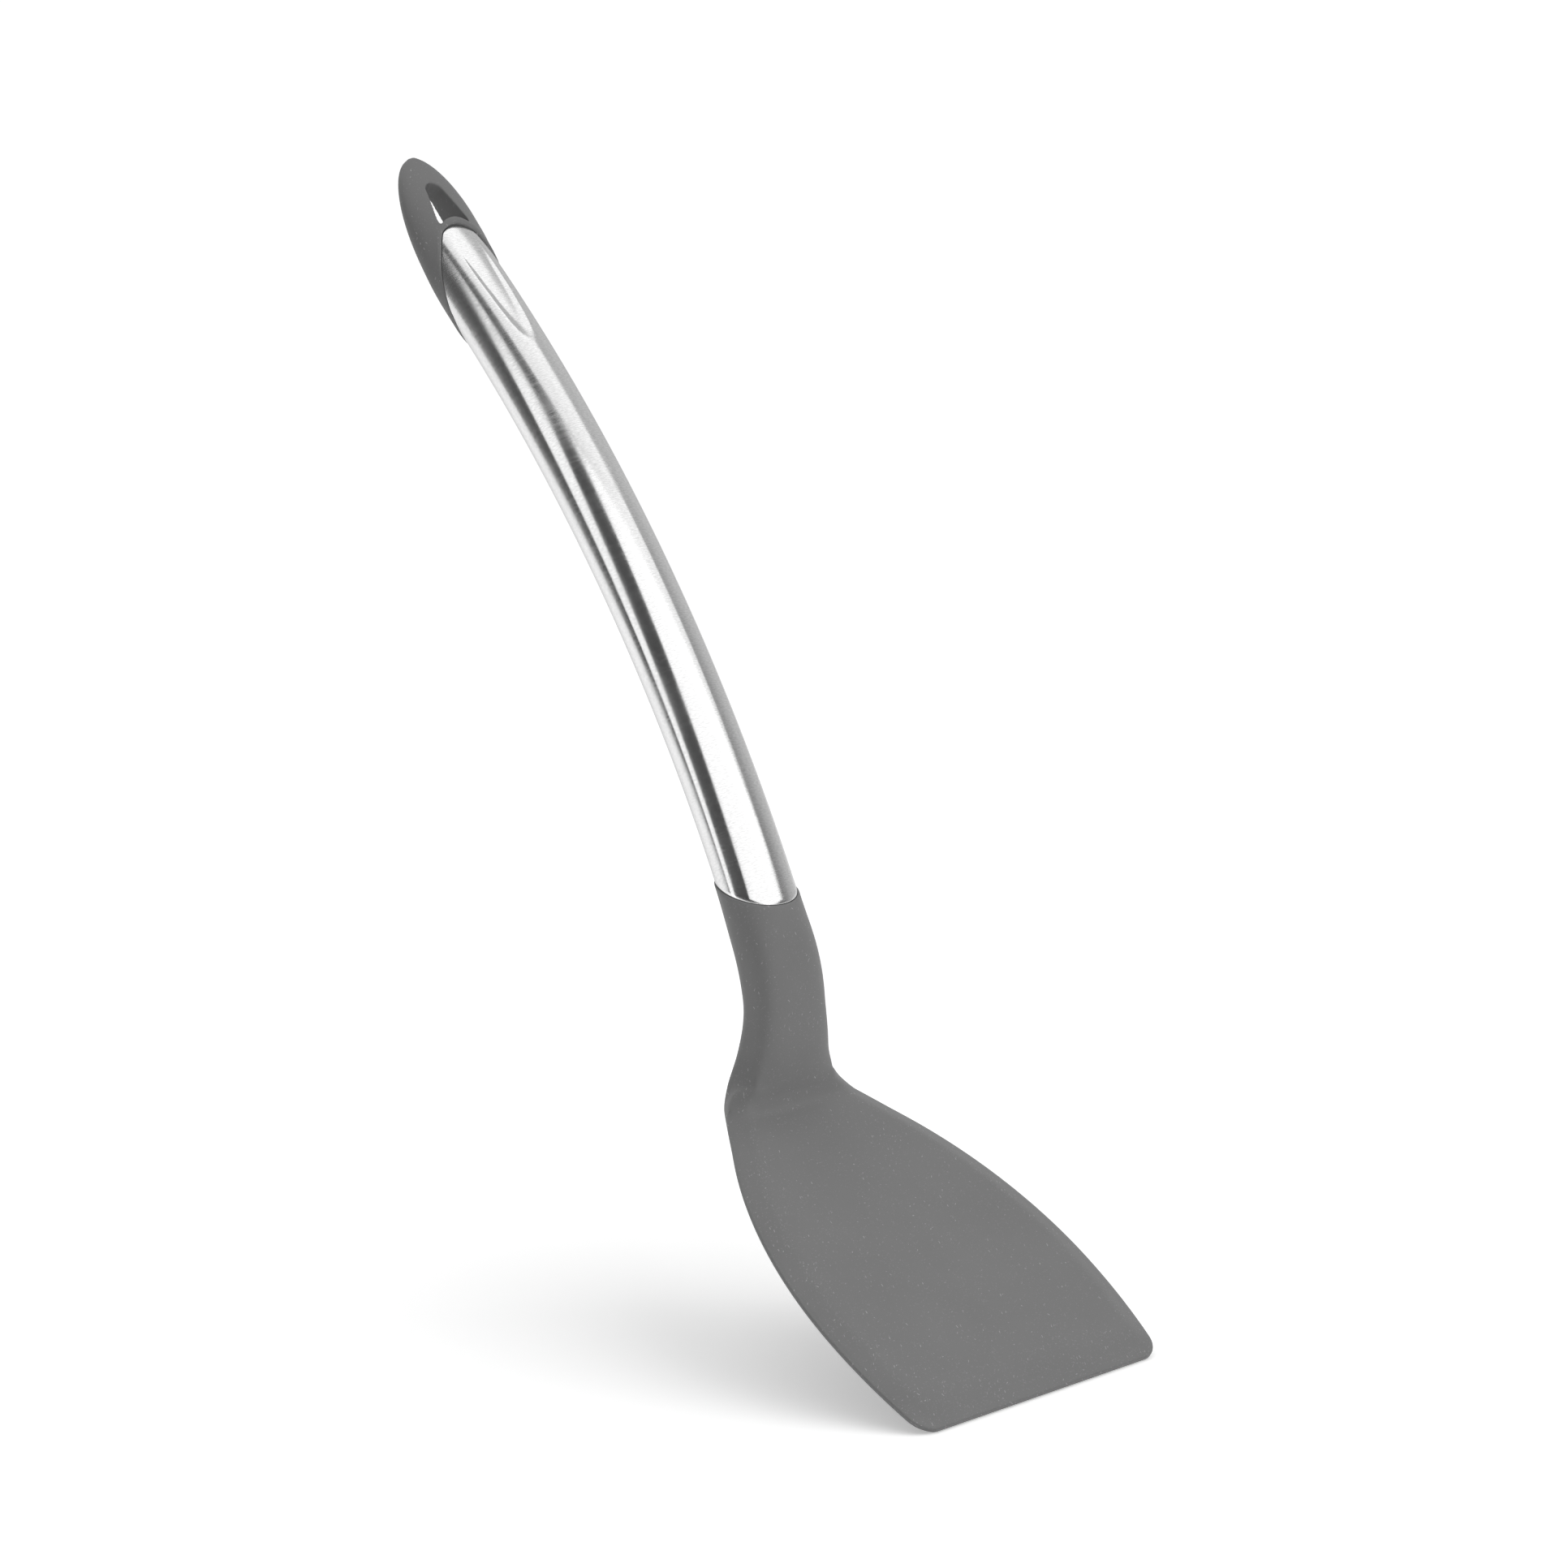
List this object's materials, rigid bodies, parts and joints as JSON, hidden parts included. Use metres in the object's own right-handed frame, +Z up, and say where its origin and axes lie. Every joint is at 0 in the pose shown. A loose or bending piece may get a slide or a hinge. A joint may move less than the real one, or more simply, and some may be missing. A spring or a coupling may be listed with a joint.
{
  "type": "kitchen turner",
  "caption": "Kitchen turner with a solid leaf-shaped nylon blade, a bent neck, a curved oval steel tube handle and a pointed nylon end cap with a hanging slot.",
  "frame": {"origin": "bottom centre of the whole turner's box as it is posed in the picture, up on the front edge of its blade", "axes": "+Z up; -Y is the side the blade's top face looks to; +Y is the way the handle leans back; X runs across the blade and the turner is mirror symmetric about X = 0"},
  "size_m": [0.0874, 0.205, 0.265],
  "materials": {
    "head_nylon": "grey glass-filled nylon, moulded, fine matt grain with pale fibre flecks",
    "handle_steel": "stainless tube, satin, brushed round its girth",
    "cap_nylon": "grey glass-filled nylon, moulded, fine matt grain",
    "epoxy": "cured amber epoxy, hidden inside the tube"
  },
  "bodies": {
    "root": {"turner_head": "head_nylon", "handle_tube": "handle_steel", "hanging_cap": "cap_nylon", "head_adhesive": "epoxy", "cap_adhesive": "epoxy"}
  },
  "joints": []
}
